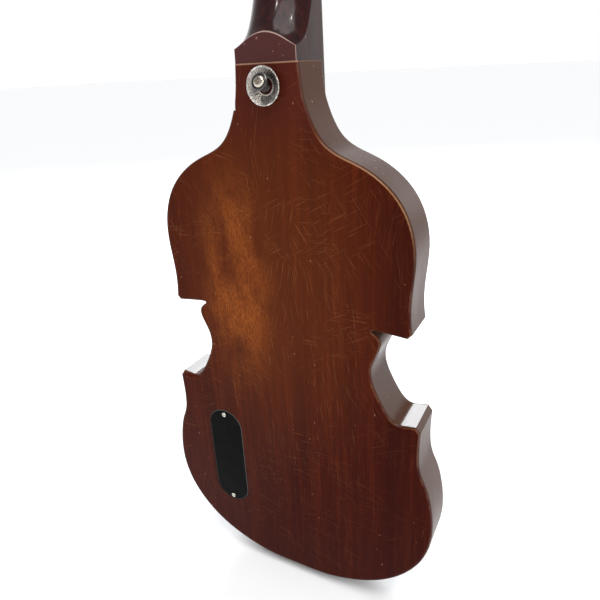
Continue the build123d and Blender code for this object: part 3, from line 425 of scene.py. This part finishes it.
neck_wood = Finish("neck_mahogany")
colour, pores, _ = wood_colours(neck_wood, neck_dark, neck_middle, neck_light, streak=240.0)
_, depth_neck, up_neck = neck_wood.parts(neck_wood.place)
_, heel_y, _ = neck_wood.parts(neck_wood.facing)
flat_end = neck_wood.times(
    neck_wood.spread(heel_y, 0.970, 0.995), neck_wood.spread(depth_neck, 0.0195, 0.0205)
)
colour = neck_wood.glaze(colour, flat_end, 0.8, heel_end_red)
# painted highlight: a pale line along the crisp arc where the flat end of the heel meets the
# carved neck
arc_highlight = neck_wood.times(
    neck_wood.spread(depth_neck, 0.0198, 0.0206), neck_wood.spread(heel_y, 0.99, 0.96)
)
arc_highlight = neck_wood.times(arc_highlight, neck_wood.spread(up_neck, 0.550, 0.545))
colour = neck_wood.glaze(colour, arc_highlight, 0.8, heel_edge_highlight)
smears = neck_wood.noise((70, 70, 40), detail=4.0, rough=0.6)
roughness = neck_wood.spread(smears, 0.35, 0.7, 0.12, 0.22)
roughness = neck_wood.calc("ADD", roughness, neck_wood.times(flat_end, 0.25))
nicks = neck_wood.spread(neck_wood.noise((400, 400, 300), detail=0.0), 0.85, 0.87)
colour = neck_wood.glaze(colour, nicks, 0.6, nicked_wood)
neck_wood.surface(colour, roughness, coat=0.10, coat_roughness=0.04, gloss=0.18)
waves = neck_wood.relief(neck_wood.noise((45, 45, 14), detail=2.0), 0.0005)
cuts = neck_wood.calc("MAXIMUM", pores, nicks)
neck_wood.relief(neck_wood.times(cuts, -1.0), 0.00005, waves)
neck_wood.wear("neck")


# ---- fretboard, frets, dots and nut ---------------------------------------------------------
# Brazilian rosewood, oiled and not lacquered, with nickel silver frets pressed into slots,
# pearloid dots and a bone nut that the strings have polished.
rosewood_dark = (0.014, 0.0075, 0.0052)
rosewood_middle = (0.036, 0.017, 0.0105)
rosewood_light = (0.085, 0.036, 0.019)

rosewood = Finish("oiled_rosewood")
colour, pores, fibres = wood_colours(
    rosewood, rosewood_dark, rosewood_middle, rosewood_light, streak=300.0
)
rosewood.surface(colour, rosewood.spread(fibres, 0.3, 0.7, 0.38, 0.55))
rosewood.relief(rosewood.times(pores, -1.0), 0.00010)
rosewood.wear("fretboard")


def metal(name, colour, tarnish, shine, grit=(300, 300, 300), worn=0.25):
    """A metal with cloudy tarnish and fine marks."""
    finish = Finish(name)
    cloud = finish.noise((38, 38, 38), detail=4.0, rough=0.6)
    marks = finish.noise(grit, detail=3.0, rough=0.7)
    tone = finish.blend(finish.spread(cloud, 0.35, 0.68, 0.0, 0.7), colour, tarnish)
    tone = finish.blend(finish.spread(marks, 0.55, 0.75, 0.0, worn), tone, tarnish)
    rough = finish.spread(cloud, 0.3, 0.7, shine, shine + 0.14)
    finish.surface(tone, finish.calc("MULTIPLY_ADD", marks, 0.08, rough), metallic=1.0)
    finish.relief(marks, 0.00003)
    return finish


nickel_silver = metal(
    "nickel_silver", (0.62, 0.57, 0.47), (0.34, 0.30, 0.23), shine=0.16, grit=(40, 900, 900)
)
nickel_silver.wear("frets")
pearl = flecked(
    "pearloid", (230, 230, 230), (0.35, 0.65), ((0.58, 0.56, 0.47), (0.86, 0.86, 0.80)),
    roughness=0.16, depth=0.00002, coat=0.4, detail=1.0, swirl=1.5,
)
pearl.wear("fret_dots")
bone = flecked(
    "bone", (90, 700, 300), (0.4, 0.7), ((0.70, 0.63, 0.48), (0.52, 0.43, 0.28)),
    roughness=0.34, depth=0.00002, detail=4.0,
)
bone.wear("string_nut")


# ---- headstock face and truss rod cover -----------------------------------------------------
# A thin holly veneer, dyed black and lacquered, with a bell-shaped cover of black celluloid
# over the end of the truss rod.
ebonised = Finish("black_lacquered_veneer")
haze = ebonised.noise((60, 60, 60), detail=4.0, rough=0.65)
ebonised.surface(
    ebonised.mottle(haze, (0.35, 0.7), ((0.006, 0.005, 0.005), (0.020, 0.014, 0.012))),
    ebonised.spread(haze, 0.3, 0.7, 0.10, 0.24), coat=0.5, coat_roughness=0.07,
)
ebonised.relief(ebonised.noise((500, 500, 18), detail=2.0), 0.00004)
ebonised.wear("headstock_veneer")


def moulded(name, colour, bloom, shine, coat=0.0, gloss=0.35):
    """A moulded plastic: a faint orange peel, dusty bloom and fine handling marks."""
    finish = Finish(name)
    cloud = finish.noise((55, 55, 55), detail=4.0, rough=0.65)
    marks = scratches(finish, ((23, 1.3), (-51, 3.7), (78, 6.1)), length=60.0, keen=0.70)
    tone = finish.blend(finish.spread(cloud, 0.40, 0.75, 0.0, 0.6), colour, bloom)
    tone = finish.glaze(tone, marks, 0.4, bloom)
    rough = finish.spread(cloud, 0.3, 0.7, shine, shine + 0.15)
    finish.surface(tone, finish.calc("MULTIPLY_ADD", marks, 0.25, rough), coat=coat, gloss=gloss)
    finish.relief(finish.noise((420, 420, 420), detail=2.0), 0.00002)
    return finish


celluloid, celluloid_bloom = (0.0012, 0.0012, 0.0013), (0.0045, 0.0043, 0.0042)
glossy = moulded("black_celluloid", celluloid, celluloid_bloom, 0.16, gloss=0.08)
glossy.wear("truss_rod_cover")
nickel = metal("nickel_plate", (0.70, 0.67, 0.61), (0.36, 0.33, 0.28), shine=0.10)
nickel.wear("truss_cover_screws")


# ---- control cover --------------------------------------------------------------------------
# The same celluloid, duller, with a grey highlight painted along its edge all round the oblong
# outline.
cover_gloss = 0.03
edge_highlight_grey = (0.16, 0.15, 0.14)
lip_start, lip_end = 0.0007, 0.0003           # in from the edge
low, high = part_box("control_cover")
end_radius = (high.x - low.x) / 2
straight = (high.z - low.z) / 2 - end_radius
plate = moulded("black_celluloid_edge_highlight", celluloid, celluloid_bloom, 0.16, gloss=cover_gloss)
plate_colour = plate.shader.inputs["Base Color"].links[0].from_socket
plate_roughness = plate.shader.inputs["Roughness"].links[0].from_socket
plate_right, _, plate_up = plate.parts(plate.place)
from_middle = plate.calc("ABSOLUTE", plate.calc("SUBTRACT", plate_up, (low.z + high.z) / 2))
past_end = plate.calc("MAXIMUM", plate.calc("SUBTRACT", from_middle, straight), 0.0)
aside = plate.calc("SUBTRACT", plate_right, (low.x + high.x) / 2)
from_axis = plate.diagonal(past_end, aside)
# painted highlight: grey along the rounded edge of the cover
lip_highlight = plate.spread(from_axis, end_radius - lip_start, end_radius - lip_end)
plate.surface(
    plate.glaze(plate_colour, lip_highlight, 0.7, edge_highlight_grey), plate_roughness, gloss=cover_gloss
)
plate.wear("control_cover")
nickel.wear("control_cover_screws")


# ---- strap button ---------------------------------------------------------------------------
# A turned steel button on a cross-head wood screw that has pulled over towards the neck, in a
# spun dish whose inside is streaked like spokes and whose rim is rubbed bright.
low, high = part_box("strap_button_cup")
dish_x, dish_z = (low.x + high.x) / 2, (low.z + high.z) / 2
cells_per_radian, cells_per_metre = 16.0, 260.0
rim_inner, rim_outer = 0.0128, 0.0138
dish = Finish("spun_nickel_dish")
dish_right, _, dish_up = dish.parts(dish.place)
off_x = dish.calc("SUBTRACT", dish_right, dish_x)
off_z = dish.calc("SUBTRACT", dish_up, dish_z)
bearing = dish.calc("ARCTAN2", off_z, off_x)
reach = dish.diagonal(off_x, off_z)
spoke = dish.tree.nodes.new("ShaderNodeCombineXYZ")
dish.feed(spoke.inputs[0], dish.times(bearing, cells_per_radian))
dish.feed(spoke.inputs[1], dish.times(reach, cells_per_metre))
brushed = dish.tree.nodes.new("ShaderNodeTexNoise")
brushed.inputs["Scale"].default_value = 1.0
brushed.inputs["Detail"].default_value = 4.0
brushed.inputs["Roughness"].default_value = 0.7
dish.feed(brushed.inputs["Vector"], spoke.outputs[0])
spokes = brushed.outputs["Fac"]
tone = dish.mottle(spokes, (0.35, 0.68), ((0.20, 0.175, 0.15), (0.62, 0.57, 0.52)))
rim = dish.spread(reach, rim_inner, rim_outer)
scars = dish.spread(dish.noise((500, 500, 500), detail=3.0, rough=0.8), 0.44, 0.60)
tone = dish.glaze(tone, rim, scars, (0.95, 0.93, 0.88))
dish.surface(tone, dish.spread(spokes, 0.3, 0.7, 0.22, 0.42), metallic=1.0)
dish.relief(dish.calc("MULTIPLY_ADD", rim, scars, spokes), 0.00018)
dish.wear("strap_button_cup")

blued = metal(
    "dark_turned_steel", (0.16, 0.155, 0.16), (0.060, 0.055, 0.055),
    shine=0.20, grit=(900, 120, 900), worn=0.6,
)
blued.wear("strap_button")
screw_steel = metal(
    "worn_screw_steel", (0.66, 0.60, 0.50), (0.22, 0.18, 0.14),
    shine=0.18, grit=(500, 500, 500), worn=0.8,
)
screw_steel.wear("strap_button_screw")


# ---- end pin socket -------------------------------------------------------------------------
# A nickel-plated brass bush in the bottom end, with a knurled thumb screw in its collar that
# clamps a steel pin for playing upright.
nickel.wear("end_pin_socket", "end_pin_screw")


# ---- bridge and pickup ----------------------------------------------------------------------
# The strings anchor in a cast bar, plated with nickel, that hooks on two slotted studs. The
# pickup sits under a brown moulded cover against the end of the fretboard.
cast_nickel = metal(
    "cast_nickel", (0.66, 0.62, 0.55), (0.34, 0.30, 0.25),
    shine=0.14, grit=(160, 160, 160), worn=0.5,
)
cast_nickel.wear("bridge_bar")
nickel.wear("bridge_studs", "bridge_set_screws", "pickup_pole_screws", "pickup_screws")
brass = metal("turned_brass", (0.55, 0.36, 0.13), (0.25, 0.15, 0.06), shine=0.25)
brass.wear("bridge_stud_bushings", "pickup_baseplate", "volume_pot_shaft", "tone_pot_shaft")
bakelite = moulded("brown_bakelite", (0.022, 0.0085, 0.0045), (0.050, 0.024, 0.014), 0.18)
bakelite.wear("pickup_cover")
winding = flecked(
    "taped_coil", (30, 30, 2400), (0.4, 0.6), ((0.012, 0.009, 0.008), (0.045, 0.030, 0.020)),
    roughness=0.6, depth=0.00008, detail=1.0,
)
winding.wear("pickup_coil")
ferrite = flecked(
    "magnet", (700, 700, 700), (0.4, 0.6), ((0.05, 0.05, 0.055), (0.11, 0.11, 0.12)),
    roughness=0.65, depth=0.00006, metallic=0.4, detail=4.0, rough=0.8,
)
ferrite.wear("pickup_magnet")


# ---- strings --------------------------------------------------------------------------------
# Steel cores with a round nickel wire wound along them, which gives each string its ribs.
rib_phases = {"e": 1250.0, "a": 1450.0, "d": 1800.0, "g": 2300.0}     # radians to the metre
unit_phase = 20                               # of the wave texture, at a scale of one
for letter, phase in rib_phases.items():
    wound = Finish(f"wound_string_{letter}")
    wave = wound.tree.nodes.new("ShaderNodeTexWave")
    wave.wave_type = "BANDS"
    wave.bands_direction = "Z"
    wave.inputs["Scale"].default_value = phase / unit_phase
    wound.feed(wave.inputs["Vector"], wound.place)
    ribs = wave.outputs["Fac"]
    dull = wound.noise((200, 200, 12), detail=4.0, rough=0.7)
    tone = wound.mottle(dull, (0.35, 0.65), ((0.56, 0.53, 0.48), (0.30, 0.27, 0.23)))
    grime = wound.spread(ribs, 0.0, 0.35, 0.7, 0.0)
    wound.surface(wound.blend(grime, tone, (0.06, 0.05, 0.045)), 0.32, metallic=1.0)
    wound.relief(ribs, 0.00015)
    wound.wear(f"string_{letter}", f"string_{letter}_winding")


# ---- tuners ---------------------------------------------------------------------------------
# Planetary tuners, as on a banjo: a nickel-plated housing behind the headstock, a slotted
# post in front, and a fluted button of cream plastic that yellowed with age.
cream = Finish("yellowed_plastic")
swirls = cream.noise((90, 90, 90), detail=3.0, swirl=1.2)
grime = cream.noise((160, 160, 160), detail=4.0, rough=0.7)
tone = cream.mottle(swirls, (0.35, 0.65), ((0.62, 0.50, 0.28), (0.76, 0.67, 0.45)))
tone = cream.blend(cream.spread(grime, 0.56, 0.75, 0.0, 0.5), tone, (0.30, 0.21, 0.11))
cream.surface(tone, cream.spread(grime, 0.3, 0.7, 0.16, 0.34), coat=0.3)
cream.relief(cream.noise((380, 380, 380), detail=2.0), 0.00003)
for letter in rib_phases:
    cream.wear(f"tuner_{letter}_button")
    nickel.wear(f"tuner_{letter}_housing", f"tuner_{letter}_post")
nickel.wear("tuner_nuts")
rod_steel = metal("truss_rod_steel", (0.42, 0.41, 0.40), (0.20, 0.16, 0.13), shine=0.3)
rod_steel.wear("truss_rod", "truss_rod_nut")


# ---- controls -------------------------------------------------------------------------------
# Two fluted knobs on brass shafts, and behind them in the cavity their cans, the tone
# capacitor, the output jack and the cloth-covered leads.
phenolic = moulded(
    "black_knob_phenolic", (0.006, 0.0045, 0.004), (0.022, 0.016, 0.012), 0.14, coat=0.2
)
phenolic.wear("volume_knob", "tone_knob")
zinc = metal(
    "zinc_can", (0.50, 0.49, 0.46), (0.30, 0.28, 0.24),
    shine=0.32, grit=(600, 600, 600), worn=0.5,
)
zinc.wear("volume_pot", "tone_pot")
nickel.wear("control_nuts", "output_jack")
capacitor_case = moulded("capacitor_case", (0.20, 0.050, 0.018), (0.30, 0.13, 0.07), 0.28)
capacitor_case.wear("tone_capacitor")
cloth = flecked(
    "cloth_lead", (1800, 1800, 1200), (0.4, 0.6), ((0.035, 0.030, 0.024), (0.13, 0.11, 0.08)),
    roughness=0.8, depth=0.0001, detail=1.0,
)
cloth.wear("wiring")


# ---- painted sound holes --------------------------------------------------------------------
# Two f-shaped sound holes are only painted on the front, one each side of the bridge.
paint = flecked(
    "sound_hole_paint", (900, 900, 900), (0.4, 0.7),
    ((0.004, 0.0035, 0.003), (0.012, 0.009, 0.007)),
    roughness=0.28, depth=0.00002, coat=0.3, detail=3.0,
)
front_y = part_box("body")[0].y
hole_aside, hole_up = 0.062, 0.165            # the middle of the treble hole
hole_length, hole_lean = 0.112, 0.016
stem_width, stem_taper, taper_power = 0.0075, 0.72, 1.6
hook_start, hook_power, hook_size, hook_gain = 0.62, 1.3, 0.010, 3.2
eye_radius, eye_aside, eye_share = 0.0062, 0.0145, 0.485
notch_radius, notch_aside, notch_shape = 0.0055, 0.0032, (0.9, 0.35, 1, 1)
paint_lift, paint_thickness = 0.00012, 0.0001
notch_turn = Matrix.Rotation(math.radians(8), 4, "Z")
stand = Matrix.Rotation(math.radians(90), 4, "X")
for side, name in ((-1, "sound_hole_bass"), (1, "sound_hole_treble")):
    shape = bmesh.new()
    bmesh.ops.create_grid(shape, x_segments=4, y_segments=36, size=1.0)
    for vert in shape.verts:
        along = vert.co.y
        bend = math.sin(along * math.pi * 0.5)
        width = stem_width * (1.0 - stem_taper * abs(along) ** taper_power) / 2
        past_start = max(abs(along) - hook_start, 0)
        hook = hook_size * math.copysign(past_start ** hook_power * hook_gain, along)
        vert.co.x = vert.co.x * width + hole_lean * 0.5 * bend + hook
        vert.co.y = along * hole_length / 2
    for end in (-1, 1):
        eye = (end * (hole_lean * 0.5 + eye_aside), end * hole_length * eye_share, 0)
        bmesh.ops.create_circle(
            shape, cap_ends=True, segments=40, radius=eye_radius, matrix=Matrix.Translation(eye)
        )
        notch_move = Matrix.Translation((end * notch_aside, 0, 0))
        bmesh.ops.create_circle(
            shape, cap_ends=True, segments=4, radius=notch_radius,
            matrix=notch_turn @ notch_move @ Matrix.Diagonal(notch_shape),
        )
    spot = Matrix.Translation((side * hole_aside, front_y - paint_lift, hole_up))
    mirror_side = Matrix.Diagonal((side, 1, 1, 1))
    bmesh.ops.transform(shape, matrix=spot @ stand @ mirror_side, verts=shape.verts)
    bmesh.ops.recalc_face_normals(shape, faces=shape.faces)
    bmesh.ops.solidify(shape, geom=shape.faces[:], thickness=paint_thickness)
    mesh = bpy.data.meshes.new(name)
    shape.to_mesh(mesh)
    shape.free()
    piece = bpy.data.objects.new(name, mesh)
    collection.objects.link(piece)
    mesh.materials.append(paint.material)
    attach(piece, "instrument")
